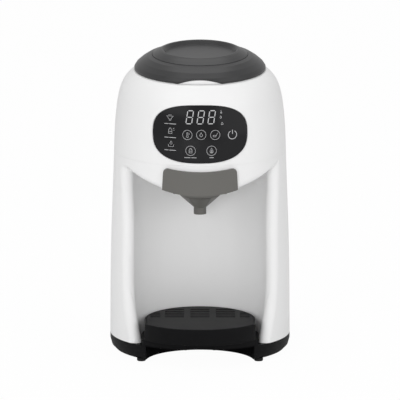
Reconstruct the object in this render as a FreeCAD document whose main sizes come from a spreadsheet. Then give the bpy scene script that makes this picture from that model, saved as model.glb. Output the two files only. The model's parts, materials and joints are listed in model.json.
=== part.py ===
import FreeCAD, Part
import math
import os

# Baby formula maker: a free-standing machine that warms water, doses powder and mixes both
# into a bottle. Millimetres, +Z up, front towards -Y. Shapes are worked out about the upright
# axis of the hopper and the lid, then all are moved back so that the origin is the middle of
# the footprint, on the resting plane.

os.makedirs("parts", exist_ok=True)
doc = FreeCAD.newDocument("FormulaMaker")
sheet = doc.addObject("Spreadsheet::Sheet", "Dims")
V = FreeCAD.Vector

dims = [
    ("wall", 3.0, "housing wall"),
    ("runGap", 0.3, "gap between pieces that move apart"),
    ("halfLow", 84.4, "half width at the base seam"),
    ("halfMid", "=halfLow - 1", "half width at the lower side"),
    ("halfBay", "=halfLow - 3.6", "half width above the bay"),
    ("halfPanel", "=halfLow - 6.6", "half width at the panel top"),
    ("halfShoulder", "=halfLow - 13.8", "half width on the shoulder"),
    ("rimHalf", "=halfLow - 22.2", "half width at the lid opening"),
    ("seamHigh", 17.0, "height of the seam of base and housing"),
    ("midHigh", "=seamHigh + 93", "height of the lower side point"),
    ("bayHigh", "=bayTop + 24", "height of the point above the bay"),
    ("panelHigh", "=bayTop + 73", "height of the point at the panel top"),
    ("shoulderHigh", "=rimHigh - 8.5", "height of the shoulder point"),
    ("rimHigh", "=bayTop + 105", "height of the rim under the lid"),
    ("rearFace", 88.0, "rear face of the housing"),
    ("rearFall", 0.22, "fall of the rear top for each millimetre back"),
    ("rearCorner", 14.0, "corner radius of the rear housing"),
    ("splitFace", 32.0, "seam of front and rear housing"),
    ("bayFoot", "=bayHalf - 7.7", "bay half width at the deck"),
    ("bayHalf", "=halfLow - 22.4", "bay half width higher up"),
    ("bayDeep", 58.0, "depth of the rounded back of the bay"),
    ("bayCentre", -44.0, "where the rounded back of the bay starts"),
    ("bayTop", 164.0, "lowest point of the bay ceiling"),
    ("ceilingRound", 135.0, "radius of the bay ceiling"),
    ("bayEdge", 6.5, "rounding of the bay edge"),
    ("footHigh", 3.0, "height of the feet"),
    ("footRound", 4.2, "radius of a foot"),
    ("baseFoot", "=halfLow - 4.9", "half width of the base underside"),
    ("baseRear", 157.0, "rear face of the base"),
    ("archHalf", "=bayFoot - 3.3", "half width of the arch under the tray"),
    ("archDeep", "=archHalf", "depth of the arch under the tray"),
    ("archCentre", "=13.4 - halfLow", "where the arch starts"),
    ("deckHigh", "=seamHigh + 5.6", "top of the deck under the tray"),
    ("plateThick", 2.5, "thickness of the base plate"),
    ("trayHalf", "=bayFoot - 2.3", "half width of the drip tray"),
    ("trayHigh", 15.4, "height of the drip tray"),
    ("trayFront", "=halfLow + 8.6", "front reach of the drip tray"),
    ("trayRound", "=trayHalf + 14", "front radius of the drip tray"),
    ("trayWall", 2.0, "wall of the drip tray"),
    ("grilleThick", 2.4, "thickness of the grille"),
    ("slotLong", 18.0, "length of a grille slot"),
    ("slotWide", 2.6, "width of a grille slot"),
    ("slotPitch", 8.0, "pitch of the grille slots"),
    ("panelHalf", 44.0, "half width of the control panel"),
    ("panelLow", "=bayTop + 31", "lower edge of the control panel"),
    ("panelTop", "=panelLow + 53.8", "upper edge of the control panel"),
    ("panelSquare", 2.7, "squareness of the panel outline, 2 is an ellipse"),
    ("panelSet", 1.2, "depth of the panel in the housing"),
    ("panelProud", 0.6, "how far the panel stands proud"),
    ("noseLow", 37.0, "lower half width of the funnel cover"),
    ("noseUp", "=noseLow - 2.7", "upper half width of the funnel cover"),
    ("noseTop", "=bayTop + 25.8", "upper edge of the funnel cover"),
    ("noseSag", 3.2, "how far the upper edge of the funnel cover sags in the middle"),
    ("noseRound", 4.5, "corner radius of the funnel cover"),
    ("noseProud", 3.5, "how far the funnel cover stands proud"),
    ("drawerHalf", "=noseLow - 6", "half width of the funnel drawer"),
    ("railHigh", "=bayTop + 9", "underside of the drawer rails"),
    ("railWide", 2.0, "width of a drawer rail"),
    ("drawerRear", 9.0, "rear end of the funnel drawer"),
    ("drawerTop", "=bayTop + 20", "top of the drawer opening"),
    ("spoutY", -22.0, "axis of the funnel spout"),
    ("coneRound", 23.0, "outer radius of the funnel at the plate"),
    ("coneKnee", "=coneRound - 4.2", "outer radius of the funnel at its knee"),
    ("kneeHigh", "=bayTop - 11.5", "height of the funnel knee"),
    ("neckHigh", "=bayTop - 23", "height where the cone meets the spout"),
    ("spoutLow", "=bayTop - 29.4", "lower end of the spout"),
    ("spoutRound", 5.9, "outer radius of the spout"),
    ("funnelWall", 1.8, "wall of the funnel"),
    ("lidRound", "=rimHalf - 0.6", "radius of the lid"),
    ("lidHigh", 19.0, "height of the lid above the rim"),
    ("dishRound", "=insertRound - 9.8", "radius of the dish in the lid"),
    ("dishDeep", 3.6, "depth of the dish in the lid"),
    ("insertRound", "=lidRound - 16.8", "radius of the lid insert"),
    ("notchHalf", 20.0, "half width of the finger notch"),
    ("notchHigh", 4.0, "height of the finger notch"),
    ("hingeY", "=lidRound + 3.4", "lid hinge axis, from the front axis"),
    ("hingeZ", "=rimHigh + 1.6", "lid hinge axis height"),
    ("lidTilt", 3.0, "forward tilt of the lid in degrees"),
    ("pinRound", 1.5, "radius of the hinge pins"),
    ("pinPlay", 0.08, "radial play of a pin in its bore"),
    ("hopperRound", "=rimHalf - 6.2", "outer radius of the powder hopper"),
    ("hopperFoot", "=hopperRound - 10", "outer radius of the hopper floor"),
    ("hopperLow", "=drawerTop + 20", "underside of the hopper floor"),
    ("hopperWall", 2.2, "wall of the hopper"),
    ("outletY", "=12 - hopperFoot", "axis of the powder outlet"),
    ("outletRound", 7.0, "radius of the powder outlet"),
    ("gearModule", 0.8, "module of the dosing gears"),
    ("gearTeeth", 56, "teeth of the drive gear"),
    ("pinionTeeth", 14, "teeth of the motor pinion"),
    ("gearThick", 5.0, "width of the dosing gears"),
    ("gearLow", "=hopperLow - 13", "underside of the dosing gears"),
    ("shaftRound", 3.0, "radius of the wheel shaft"),
    ("motorRound", 10.5, "radius of the dosing motor"),
    ("tankFront", "=rearFace + 2.5", "front face of the water tank"),
    ("tankHalf", "=halfLow - 16.4", "half width of the water tank"),
    ("tankRear", "=baseRear - 2", "rear face of the water tank"),
    ("tankLow", "=seamHigh + 7", "underside of the water tank"),
    ("tankHigh", "=bayTop + 67", "rim of the water tank"),
    ("tankCorner", 30.0, "rear corner radius of the tank"),
    ("tankWall", 2.4, "wall of the water tank"),
    ("valveX", 0.0, "valve place across"),
    ("valveY", "=tankFront + 27.5", "valve place along the depth"),
    ("screwRound", 1.6, "radius of a housing screw"),
]
for row, (alias, value, note) in enumerate(dims, start=1):
    sheet.set("A%d" % row, note)
    sheet.setAlias("B%d" % row, alias)
for row, (alias, value, note) in enumerate(dims, start=1):
    sheet.set("B%d" % row, str(value))
doc.recompute()


def size(alias):
    # one driving dimension, read from the sheet
    return float(sheet.get(alias))


parts = []


def register(obj, label):
    # make an object a sub-part with its own name
    obj.Label = label
    parts.append(obj)
    return obj


def feature(label, shape):
    # a sub-part whose shape comes from the functions below
    obj = doc.addObject("Part::Feature", label)
    obj.Shape = shape
    obj.Placement = shape.Placement
    return register(obj, label)


def bind(obj, **links):
    for prop, text in links.items():
        obj.setExpression(prop.replace("_", "."), text)
    return obj


def place(obj, x="0", y="0", z="0"):
    return bind(obj, Placement_Base_x=x, Placement_Base_y=y, Placement_Base_z=z)


def rodOf(name, radius, high, x="0", y="0", z="0", turn=None):
    # a cylinder from z upwards, or along the axis that turn gives
    obj = doc.addObject("Part::Cylinder", name)
    bind(obj, Radius=radius, Height=high)
    if turn:
        obj.Placement = FreeCAD.Placement(V(), FreeCAD.Rotation(V(0, 0, 1), turn))
    return place(obj, x, y, z)


def cutOf(name, base, tool):
    obj = doc.addObject("Part::Cut", name)
    obj.Base = base
    obj.Tool = tool
    return obj


def originPlane(body, role):
    return [item for item in body.Origin.OriginFeatures if item.Role == role][0]


def sketchOn(body, name, role="XY_Plane"):
    sketch = body.newObject("Sketcher::SketchObject", name)
    sketch.AttachmentSupport = [(originPlane(body, role), "")]
    sketch.MapMode = "FlatFace"
    return sketch


# Shapes that several pieces share

def line(a, b):
    return Part.makeLine(a, b)


def sideProfile(grow, low, top):
    # half outline of the housing in the XZ plane, grown outwards, as edges from low to top
    heights = ("seamHigh", "midHigh", "bayHigh", "panelHigh")
    widths = ("halfLow", "halfMid", "halfBay", "halfPanel")
    side = [V(size(w) + grow, 0, size(z)) for w, z in zip(widths, heights)]
    side[0].z = low
    shoulder = V(size("halfShoulder") + grow * 0.8, 0, size("shoulderHigh") + grow * 0.6)
    rim = V(size("rimHalf"), 0, top)
    curve = Part.BSplineCurve()
    curve.interpolate(side + [shoulder, rim])
    return curve.toShape(), side[0], rim


def housingBlock(grow, low, top, rear):
    # the housing outline turned about the axis, and behind it pushed back along a falling line,
    # so that the rear top slopes down
    curve, foot, rim = sideProfile(grow, low, top)
    half = Part.Face(Part.Wire([curve, line(rim, V(0, 0, top)), line(V(0, 0, top), V(0, 0, low)),
                                line(V(0, 0, low), foot)]))
    crown = half.revolve(V(), V(0, 0, 1), 360)
    fall = V(0, rear, -rear * size("rearFall"))
    back = half.extrude(fall).fuse(half.mirror(V(), V(1, 0, 0)).extrude(fall))
    back = back.common(boxAt(-200, 200, 0, rear, low, top))
    return crown.fuse(back).removeSplitter()


def bayWire(half, deep, centre, front, level):
    # a U in plan: straight sides from the front, then half an ellipse round the back
    sides = [V(half, front, level), V(half, centre, level),
             V(-half, centre, level), V(-half, front, level)]
    if half > deep:
        oval = Part.Ellipse(V(0, centre, level), half, deep)
        start = 0
    else:
        oval = Part.Ellipse(V(0, centre + deep, level), V(half, centre, level), V(0, centre, level))
        start = -math.pi / 2
    arc = Part.Arc(oval, start, start + math.pi).toShape()
    ends = [arc.Vertexes[0].Point, arc.Vertexes[-1].Point]
    if ends[0].x < ends[1].x:
        ends.reverse()
    return Part.Wire(Part.__sortEdges__([line(sides[0], ends[0]), arc, line(ends[1], sides[3]),
                                         line(sides[3], sides[0])]))


def bayBlock(grow, low, top):
    # the space for the bottle, grown outwards for the wall behind it
    front = -size("halfLow") - 30
    foot = size("bayFoot") + grow
    full = size("bayHalf") + grow
    deep = size("bayDeep") + grow
    centre = size("bayCentre")
    levels = ((low, foot), (low + 20, foot + 0.5 * (full - foot)), (low + 45, full - 0.8),
              (low + 75, full), (low + 115, full), (top, full))
    wires = [bayWire(half, deep, centre, front, level) for level, half in levels]
    block = Part.makeLoft(wires, True, False)
    return block.cut(ceilingRod(size("ceilingRound") - grow))


def upright(outline, front, rear):
    # an outline in the XZ plane pushed along Y, from front to rear
    face = Part.Face(outline)
    face.translate(V(0, front, 0))
    return face.extrude(V(0, rear - front, 0))


def boxAt(x0, x1, y0, y1, z0, z1):
    return Part.makeBox(x1 - x0, y1 - y0, z1 - z0, V(x0, y0, z0))


def rodAt(radius, start, end):
    return Part.makeCylinder(radius, (end - start).Length, start, end - start)


def panelOutline(grow):
    # the control panel: an oval, squarer than an ellipse
    half = size("panelHalf") + grow
    low = size("panelLow") - grow
    top = size("panelTop") + grow
    share = 2 / size("panelSquare")
    points = []
    for step in range(48):
        angle = 2 * math.pi * (step + 0.5) / 48
        across = math.copysign(abs(math.cos(angle)) ** share, math.cos(angle))
        up = math.copysign(abs(math.sin(angle)) ** share, math.sin(angle))
        points.append(V(half * across, 0, (low + top) / 2 + up * (top - low) / 2))
    curve = Part.BSplineCurve()
    curve.interpolate(points, PeriodicFlag=True)
    return Part.Wire(curve.toShape())


def noseOutline():
    # the funnel cover: leaning sides and a sagging upper edge, with round corners
    low = size("bayTop") - 20
    top = size("noseTop")
    wide = size("noseLow")
    narrow = size("noseUp")
    sag = size("noseSag")
    right = V(narrow, 0, top)
    left = V(-narrow, 0, top)
    edges = [line(V(-wide, 0, low), V(wide, 0, low)), line(V(wide, 0, low), right),
             Part.Arc(right, V(0, 0, top - sag), left).toShape(), line(left, V(-wide, 0, low))]
    sharp = Part.Face(Part.Wire(edges))
    radius = size("noseRound")
    return sharp.makeOffset2D(-radius).makeOffset2D(radius).Wires[0]


# Housing in two halves, with the bay for the bottle

def ceilingRod(radius):
    # a long round bar whose underside follows the arched ceiling of the bay
    axis = V(0, -200, size("bayTop") + size("ceilingRound"))
    return Part.makeCylinder(radius, 400, axis, V(0, 1, 0))


def drawerSlot():
    # the opening that the funnel drawer slides in, with a groove in each side for its rails
    half = size("drawerHalf") + size("runGap")
    deep = half + size("railWide")
    railLow = size("railHigh") - size("runGap")
    front = -size("halfLow") - 10
    back = size("drawerRear") + size("runGap")
    mouth = boxAt(-half, half, front, back, size("bayTop") - 0.1, size("drawerTop"))
    return mouth.fuse(boxAt(-deep, deep, front, back, railLow, railLow + 2 + 2 * size("runGap")))


def roundedPlan(inset, rearEnd, radius, z0, z1):
    # a tall block as wide as the machine, with rounded rear corners
    half = size("halfLow") - inset
    block = boxAt(-half, half, -200, rearEnd - inset, z0, z1)
    tall = [edge for edge in block.Edges
            if edge.BoundBox.YMin > rearEnd - inset - 1 and edge.BoundBox.ZLength > (z1 - z0) * 0.9]
    return block.makeFillet(radius - inset, tall)


low = size("seamHigh")
wall = size("wall")
runGap = size("runGap")
rimZ = size("rimHigh")
rear = size("rearFace")
split = size("splitFace")
hingeZ = size("hingeZ")
hingeY = size("hingeY")
outside = housingBlock(0, low, rimZ, rear).common(roundedPlan(0, rear, size("rearCorner"), 0, 300))
bay = bayBlock(0, low - 1, size("bayTop") + 36)
shaped = outside.cut(bay)
bayRim = [edge for edge in shaped.Edges
          if edge.BoundBox.YMax < size("bayCentre") - 2 and edge.BoundBox.ZMax > size("bayTop") + 6
          and edge.BoundBox.YMin < -60]
shaped = shaped.makeFillet(size("bayEdge"), bayRim)

hollow = housingBlock(-wall, low - 1, rimZ - wall, rear - wall)
hollow = hollow.cut(bayBlock(wall, low - 2, size("bayTop") + 36))
hollow = hollow.common(roundedPlan(wall, rear, size("rearCorner"), 0, 300))
armFill = boxAt(-100, 100, -100, size("bayCentre") + 16, 0, size("bayTop") + 24)
armFill = armFill.cut(boxAt(-50, 50, -110, 0, 0, 400))
hollow = hollow.cut(armFill)
tilt = size("lidTilt")


def tilted(shape):
    # a shape made level, leaned forward with the lid
    leaning = shape.copy()
    leaning.rotate(V(0, 0, rimZ), V(1, 0, 0), tilt)
    return leaning


above = tilted(boxAt(-200, 200, -200, 200, rimZ, rimZ + 60))
lugHalf = 12.0
seatHalf = lugHalf + 6.5
seatPoints = [V(-seatHalf, hingeY + y, rimZ + z)
              for y, z in ((-6.5, -19), (9, -19), (9, -5), (5.4, 0), (-6.5, 0), (-6.5, -19))]
hingeSeat = Part.Face(Part.makePolygon(seatPoints)).extrude(V(2 * seatHalf, 0, 0))
collar = rodAt(size("rimHalf") - 0.5, V(0, 0, rimZ - wall), V(0, 0, rimZ + 12))
lidMouth = rodAt(size("hopperRound") + 0.4, V(0, 0, rimZ - 8), V(0, 0, rimZ + 15))
lidRound = size("lidRound")
notchRound = (size("notchHalf") ** 2 + size("notchHigh") ** 2) / (2 * size("notchHigh"))
notchAxis = rimZ + runGap + size("notchHigh") - notchRound
notchBoss = rodAt(lidRound - 0.3, V(0, 0, rimZ - 1), V(0, 0, rimZ + 8))
notchBoss = notchBoss.cut(rodAt(lidRound - 3.3, V(0, 0, rimZ - 2), V(0, 0, rimZ + 9)))
notchBoss = notchBoss.common(rodAt(notchRound - 0.35, V(0, -lidRound - 5, notchAxis),
                                   V(0, -lidRound + 4.5, notchAxis)))
shell = shaped.cut(hollow).fuse([collar, hingeSeat]).cut(above).cut(lidMouth).fuse(tilted(notchBoss))

slot = drawerSlot()
drawerSide = size("drawerHalf") + size("railWide") + 3
drawerWalls = boxAt(-drawerSide, drawerSide, -size("halfLow"), size("drawerRear") + 3,
                    size("bayTop") - 2, size("drawerTop") + 2.5)
drawerWalls = drawerWalls.common(outside).cut(bay)
chuteHole = rodAt(size("outletRound") + 0.4, V(0, size("outletY"), size("drawerTop") - 1),
                  V(0, size("outletY"), size("drawerTop") + 4))
jetX = 19.0
jetZ = size("drawerTop") - 4.0
spoutHole = rodAt(2.6, V(jetX, 0, jetZ), V(jetX, size("drawerRear") + 5, jetZ))
panelPocket = upright(panelOutline(0.4), -120, -40).cut(
    housingBlock(-size("panelSet"), low - 30, rimZ + 20, rear))
boardPort = boxAt(-19, 19, -90, -60, size("panelLow") + 20, size("panelTop") - 10)
shell = shell.fuse(drawerWalls).cut(slot).cut(chuteHole).cut(spoutHole)
shell = shell.cut(panelPocket).cut(boardPort)
boardFace = -66.4
postSeats = ((-74.2, size("panelLow") + 15), (-72.2, size("panelLow") + 41))
boardPosts = [rodAt(2, V(x, seat, z), V(x, boardFace - 0.05, z)) for x in (-22, 22)
              for seat, z in postSeats]
shell = shell.fuse(boardPosts)

frontCut = boxAt(-200, 200, split, 400, -50, 400)
rearCut = boxAt(-200, 200, -400, split, -50, 400)
frontShell = shell.cut(frontCut)
rearShell = shell.cut(rearCut)
ceilingLow = size("bayTop") - 4
headLow = size("bayTop") + 28
linerZone = bayBlock(wall + 0.6, low - 2, size("bayTop") + 36)
linerZone = linerZone.common(boxAt(-200, 200, size("bayCentre"), 200, low - 2, ceilingLow))
lowerShell = frontShell.common(boxAt(-200, 200, -200, 200, low - 2, ceilingLow))
sideShells = lowerShell.cut(linerZone)


def turned(points, x=0.0, y=0.0):
    # a closed outline of radius and height turned about an upright axis
    corners = [V(r, 0, z) for r, z in points]
    solid = Part.Face(Part.makePolygon(corners + corners[:1])).revolve(V(), V(0, 0, 1), 360)
    solid.translate(V(x, y, 0))
    return solid


def rampBlock(points, rearEnd):
    # an outline of half width and height, turned round the front and pushed straight back
    edges = [line(V(*a), V(*b)) for a, b in zip(points, points[1:] + points[:1])]
    face = Part.Face(Part.Wire(edges))
    back = face.extrude(V(0, rearEnd, 0))
    other = face.mirror(V(), V(1, 0, 0)).extrude(V(0, rearEnd, 0))
    return face.revolve(V(), V(0, 0, 1), -180).fuse([back, other]).removeSplitter()


def baseBlock(grow, bottom, top, rearEnd):
    foot = size("baseFoot") + grow
    side = size("halfLow") + grow
    outline = [(0, 0, bottom), (foot, 0, bottom), (foot + 0.7 * (side - foot), 0, bottom + 3.6),
               (side, 0, size("footHigh") + 9.0), (side, 0, top), (0, 0, top)]
    return rampBlock(outline, rearEnd)


# Base: tub with deck and tank shelf, cover plate, feet
bottom = size("footHigh")
baseRear = size("baseRear")
plate = size("plateThick")
deckHigh = size("deckHigh")
archHalf = size("archHalf")
archDeep = size("archDeep")
tankCorner = size("tankCorner")
tub = baseBlock(0, bottom, low, baseRear)
tub = tub.common(roundedPlan(0, baseRear, tankCorner, 0, 100))
tubHollow = baseBlock(-wall, bottom - 1, low - wall, baseRear - wall)
tubHollow = tubHollow.common(roundedPlan(wall, baseRear, tankCorner, 0, 100))


def archBlock(grow, top):
    wire = bayWire(archHalf + grow, archDeep + grow, size("archCentre"), -130, bottom - 2)
    return Part.Face(wire).extrude(V(0, 0, top - bottom + 2))


tub = tub.cut(tubHollow.cut(archBlock(wall, low))).cut(archBlock(0, low - 0.01))
deck = bayBlock(-runGap, low - 1, size("bayTop") + 36)
deck = deck.common(rodAt(size("halfLow") - 0.6, V(0, 0, low - 0.5), V(0, 0, deckHigh)))
frontNotch = boxAt(-12.5, 12.5, -95, -size("halfLow") + 5, low - 1, low + 2.6)
shelfRear = baseRear - 1.5
shelf = boxAt(-size("tankHalf") - 6, size("tankHalf") + 6, rear + runGap, shelfRear, low - 1,
              size("tankLow") - runGap)
shelfCorner = tankCorner
shelfEdges = [edge for edge in shelf.Edges
              if edge.BoundBox.ZLength > 5 and edge.BoundBox.YMin > shelfRear - 1]
shelf = shelf.makeFillet(shelfCorner, shelfEdges)
valveX = size("valveX")
valveY = size("valveY")
socketHole = rodAt(9.0, V(valveX, valveY, 0), V(valveX, valveY, 40))
riserHole = rodAt(4.5, V(0, rear - 22, 0), V(0, rear - 22, low + 1))
loomHole = boxAt(28, 58, rear - 40, rear - 16, 0, low + 1)
tub = tub.fuse(deck).fuse(shelf).cut(frontNotch).cut(socketHole).cut(riserHole).cut(loomHole)
plateFit = baseBlock(-wall - 0.4, bottom, low, baseRear - wall - 0.4)
plateFit = plateFit.common(boxAt(-200, 200, -200, 400, bottom, bottom + plate))
plateFit = plateFit.common(roundedPlan(wall + 0.4, baseRear, tankCorner, 0, 100))
plateFit = plateFit.cut(archBlock(wall + 0.4, low))
postSpots = [(-58, -38), (58, -38), (-66, 130), (66, 130), (-66, 44), (66, 44)]
screwRound = size("screwRound")
for postX, postY in postSpots:
    post = rodAt(4.5, V(postX, postY, bottom + plate), V(postX, postY, low - wall + 0.5))
    tub = tub.fuse(post).cut(rodAt(screwRound, V(postX, postY, 0), V(postX, postY, low - wall - 1)))
    plateFit = plateFit.cut(rodAt(screwRound + 0.3, V(postX, postY, 0), V(postX, postY, 8)))
feature("base_tub", tub.removeSplitter())
feature("base_cover", plateFit)

footSpots = [(-55, -53), (55, -53), (-60, 136), (60, 136)]
footRound = size("footRound")
feet = []
for footX, footY in footSpots:
    foot = rodAt(footRound, V(footX, footY, 0), V(footX, footY, bottom - 0.05))
    feet.append(foot.makeChamfer(0.6, [edge for edge in foot.Edges if edge.BoundBox.ZMax < 0.1]))
feature("feet", Part.makeCompound(feet))

screws = []
for postX, postY in postSpots:
    shank = rodAt(screwRound, V(postX, postY, bottom + 0.6), V(postX, postY, low - wall - 1.6))
    head = rodAt(screwRound + 1.2, V(postX, postY, bottom - 1.6), V(postX, postY, bottom))
    neck = rodAt(screwRound, V(postX, postY, bottom - 0.1), V(postX, postY, bottom + 1))
    screws.append(shank.fuse([head, neck]).removeSplitter())
feature("base_screws", Part.makeCompound(screws))

# Drip tray with its grille, on the deck
trayHalf = size("trayHalf")
trayZ = deckHigh + 0.05
trayTop = trayZ + size("trayHigh")
trayWall = size("trayWall")
grilleThick = size("grilleThick")


def trayBlock(grow, z0, z1):
    # plan of the tray: a broad arc in front, straight sides, half an oval at the back
    half = trayHalf + grow
    front = size("trayFront") + grow
    bend = size("trayRound")
    shoulder = -front + bend - math.sqrt(bend ** 2 - half ** 2)
    wire = bayWire(half, size("bayDeep") - 2.5 + grow, size("bayCentre"), shoulder, z0)
    block = Part.Face(wire).extrude(V(0, 0, z1 - z0))
    lip = rodAt(bend, V(0, -front + bend, z0), V(0, -front + bend, z1))
    lip = lip.common(boxAt(-half, half, -200, shoulder, z0, z1))
    return block.fuse(lip).removeSplitter()


tray = trayBlock(0, trayZ, trayTop)
tray = tray.cut(trayBlock(-trayWall - 1.6, trayZ + trayWall, trayTop + 1))
tray = tray.cut(trayBlock(-trayWall + 0.4, trayTop - grilleThick - 0.05, trayTop + 1))
feature("drip_tray", tray.removeSplitter())
grille = trayBlock(-trayWall + 0.1, trayTop - grilleThick, trayTop)
slotLong = size("slotLong")
slotWide = size("slotWide")
for slotRow in range(5):
    slotY = -35.0 + slotRow * size("slotPitch")
    for slotX in (-24.0, 0.0, 24.0):
        grille = grille.cut(boxAt(slotX - slotLong / 2, slotX + slotLong / 2, slotY - slotWide / 2,
                                  slotY + slotWide / 2, trayTop - 10, trayTop + 5))
    outer = 42.0
    if slotRow < 3:
        for side in (-1, 1):
            grille = grille.cut(boxAt(side * outer - 4.5, side * outer + 4.5, slotY - slotWide / 2,
                                      slotY + slotWide / 2, trayTop - 10, trayTop + 5))
feature("tray_grille", grille.removeSplitter())


# Control panel and funnel cover follow the housing's curved front
panel = upright(panelOutline(0), -120, -40)
panel = panel.common(housingBlock(size("panelProud"), low - 30, rimZ + 20, rear))
panel = panel.cut(housingBlock(-size("panelSet") + 0.1, low - 30, rimZ + 20, rear))
feature("control_panel", panel)

slotHigh = size("drawerTop")
nose = upright(noseOutline(), -120, -40)
nose = nose.common(housingBlock(size("noseProud"), low - 30, rimZ + 20, rear))
nose = nose.cut(housingBlock(runGap, low - 30, rimZ + 20, rear)).common(ceilingRod(size("ceilingRound")))
feature("funnel_cover", nose)

# Mixing funnel: a plate that slides in the housing, with the cone and spout under it
plateHalf = size("drawerHalf")
spoutY = size("spoutY")
kneeZ = size("kneeHigh")
neckZ = size("neckHigh")
spoutZ = size("spoutLow")
skin = size("funnelWall")
knee = size("coneKnee")
spout = size("spoutRound")
coneRound = size("coneRound")
plateZ = size("bayTop") + 1.0
coneOut = turned([(0, spoutZ), (spout, spoutZ), (spout, neckZ), (knee, kneeZ),
                  (coneRound, plateZ), (coneRound, plateZ + 4), (0, plateZ + 4)], 0, spoutY)
coneIn = turned([(0, spoutZ - 1), (spout - skin, spoutZ - 1), (spout - skin, neckZ + 0.6),
                 (knee - skin, kneeZ + 0.8), (coneRound - skin, plateZ + 1),
                 (coneRound - skin, plateZ + 14), (0, plateZ + 14)], 0, spoutY)
drawerFront = -size("halfBay") + 2
drawerRear = size("drawerRear")
floorPlate = boxAt(-plateHalf + 6, plateHalf - 6, drawerFront, drawerRear, plateZ, plateZ + 3)
drawerSides = boxAt(-plateHalf, plateHalf, drawerFront, drawerRear, plateZ + 2.7, plateZ + 12)
drawerSides = drawerSides.cut(boxAt(-plateHalf + 2, plateHalf - 2, drawerFront - 9, drawerRear - 2,
                                    plateZ + 5.2, plateZ + 20))
rails = boxAt(-plateHalf - size("railWide") + 0.3, plateHalf + size("railWide") - 0.3, drawerFront,
              drawerRear, size("railHigh"), size("railHigh") + 2)
rails = rails.cut(boxAt(-plateHalf + 1, plateHalf - 1, -200, 200, 0, 400))
funnel = floorPlate.fuse([drawerSides, rails, coneOut]).cut(coneIn)
funnel = funnel.common(rodAt(size("halfBay") + 0.2, V(0, 0, 0), V(0, 0, 400)))
feature("mixing_funnel", funnel.removeSplitter())


# Lid: outer ring, dished insert, liner and seal, all leaning forward together
lidBase = rimZ + runGap
insertRound = size("insertRound")
lidTop = rimZ + size("lidHigh")
dishRound = size("dishRound")
dishFloor = lidTop - size("dishDeep")
seamZ = lidTop - 5.0
ledgeZ = seamZ - 1.9
pinRound = size("pinRound")
pinBore = pinRound + size("pinPlay")
hinge = V(0, hingeY, hingeZ)
lidRing = turned([(lidRound, lidBase), (lidRound, lidBase + 1.9), (lidRound - 1.9, lidBase + 4.9),
                  (lidRound - 6.6, lidBase + 9.0), (lidRound - 12, seamZ - 1.2),
                  (insertRound + 0.3, seamZ), (insertRound + 0.3, ledgeZ),
                  (insertRound - 3.2, ledgeZ), (insertRound - 3.2, ledgeZ - 2.1),
                  (insertRound + 2.8, ledgeZ - 2.1), (lidRound - 8.8, lidBase + 6.9),
                  (lidRound - 4.1, lidBase + 3.1), (lidRound - 3.3, lidBase)])
lug = rodAt(2.9, V(-lugHalf, hingeY, hingeZ), V(lugHalf, hingeY, hingeZ))
bridge = boxAt(-lugHalf, lugHalf, lidRound - 3.2, hingeY, lidBase + 0.1, hingeZ + 2.6)
pinHole = rodAt(pinBore, V(-40, hingeY, hingeZ), V(40, hingeY, hingeZ))
notch = rodAt(notchRound, V(0, -lidRound - 9, notchAxis), V(0, -lidRound + 5, notchAxis))
lidShape = lidRing.fuse([lug, bridge]).cut(pinHole).cut(notch)
feature("lid_ring", tilted(lidShape.removeSplitter()))
insert = turned([(0, dishFloor - 3.0), (insertRound, dishFloor - 3.0), (insertRound, seamZ + 0.4),
                 (insertRound - 3.8, lidTop - 2.4), (dishRound + 2.5, lidTop - 0.6),
                 (dishRound + 0.6, lidTop), (dishRound - 0.6, lidTop - 0.4),
                 (dishRound - 3.4, dishFloor), (0, dishFloor - 0.3)])
feature("lid_insert", tilted(insert))
linerZ = lidBase + 3.1
linerRound = lidRound - 7.0
insertLow = dishFloor - 3.0
liner = turned([(0, linerZ), (linerRound, linerZ), (linerRound, linerZ + 1.5),
                (38, linerZ + 1.5), (38, insertLow - 0.05), (35.5, insertLow - 0.05),
                (35.5, linerZ + 1.5), (0, linerZ + 1.5)])
feature("lid_liner", tilted(liner))
flangeZ = rimZ + 0.05
flangeTop = flangeZ + 1.5
seal = turned([(linerRound - 3.2, flangeTop + 0.1), (linerRound, flangeTop + 0.1),
               (linerRound, linerZ - 0.02), (linerRound - 3.2, linerZ - 0.02)])
feature("lid_seal", tilted(seal))
earOut = lugHalf + 5.3
bracket = boxAt(-earOut, earOut, hingeY - 2.2, hingeY + 4.6, rimZ + 0.05, rimZ + 1.4)
hingeWorld = tilted(Part.Vertex(hinge)).Point
for side in (-1, 1):
    inner = side * (lugHalf + runGap)
    outer = side * earOut
    ear = boxAt(min(inner, outer), max(inner, outer), hingeWorld.y - 2.9, hingeWorld.y + 2.9,
                rimZ + 0.05, hingeWorld.z)
    dome = rodAt(2.9, V(inner, hingeWorld.y, hingeWorld.z), V(outer, hingeWorld.y, hingeWorld.z))
    bracket = bracket.fuse([ear, dome])
bracket = bracket.cut(rodAt(pinRound + 0.02, V(-40, hingeWorld.y, hingeWorld.z),
                            V(40, hingeWorld.y, hingeWorld.z)))
feature("lid_hinge_bracket", bracket.removeSplitter())
feature("lid_hinge_pin", rodAt(pinRound, V(-earOut, hingeWorld.y, hingeWorld.z),
                               V(earOut, hingeWorld.y, hingeWorld.z)))

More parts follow.
